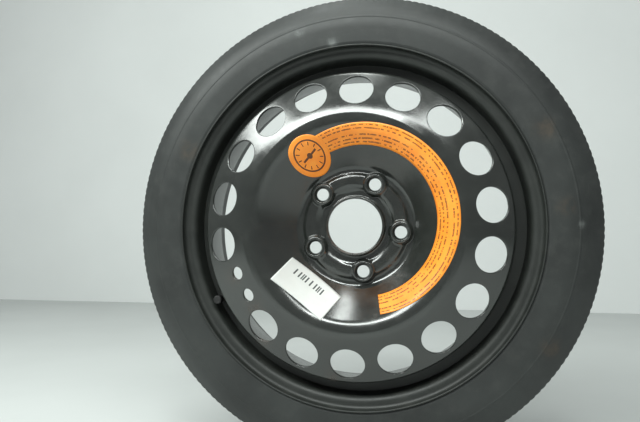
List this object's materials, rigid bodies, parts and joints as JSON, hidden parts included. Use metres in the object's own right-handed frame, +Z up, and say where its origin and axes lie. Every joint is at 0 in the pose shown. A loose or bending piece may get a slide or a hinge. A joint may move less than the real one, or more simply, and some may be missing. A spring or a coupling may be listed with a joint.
{
  "type": "spare wheel",
  "caption": "Narrow temporary spare wheel: black pressed-steel disc with round vent holes in a drop-centre rim, with tubeless tyre, snap-in valve, orange film and paper label.",
  "frame": {"origin": "centre of the hub bore in the plane of the mounting face", "axes": "+Y along the wheel's axle towards the car, the visible side faces -Y, +Z up as mounted"},
  "size_m": [0.5666, 0.1505, 0.5666],
  "materials": {
    "tyre_rubber": "matt, lightly dusty",
    "black_paint": "gloss black dip paint",
    "valve_rubber": "matt",
    "valve_brass": "turned",
    "spring_steel": "drawn wire",
    "cap_plastic": "moulded",
    "orange_film": "smooth printed film",
    "white_paper": "smooth"
  },
  "bodies": {
    "wheel": {"tyre": "tyre_rubber", "rim": "black_paint", "disc": "black_paint", "weld_seams": "black_paint", "valve_body": "valve_rubber", "valve_stem": "valve_brass", "core_plug": "valve_brass", "core_barrel": "valve_brass", "core_barrel_seal": "valve_rubber", "core_spring": "spring_steel", "orange_band": "orange_film", "paper_label": "white_paper"},
    "valve_pin": {"core_pin": "valve_brass", "core_cup": "valve_brass", "core_cup_seal": "valve_rubber"},
    "cap_washer": {"cap_seal": "valve_rubber"},
    "cap": {"valve_cap": "cap_plastic"}
  },
  "joints": [
    {"name": "pin_press", "type": "slide", "parent": "wheel", "child": "valve_pin", "axis": [0, 1, 0], "range_m": [0, 0.001], "stiffness_N_per_m": 1500, "deforming": ["core_spring"]},
    {"name": "cap_lift", "type": "slide", "parent": "wheel", "child": "cap_washer", "axis": [0, -1, 0], "range_m": [0, 0.00556]},
    {"name": "cap_turn", "type": "hinge", "parent": "cap_washer", "child": "cap", "pos_m": [-0.16965, -0.012, -0.0902], "axis": [0, -1, 0], "range_deg": [0, 2520]}
  ],
  "couplings": [
    {"joint": "cap_turn", "follows": "cap_lift", "rad_per_m": 7915.8}
  ]
}
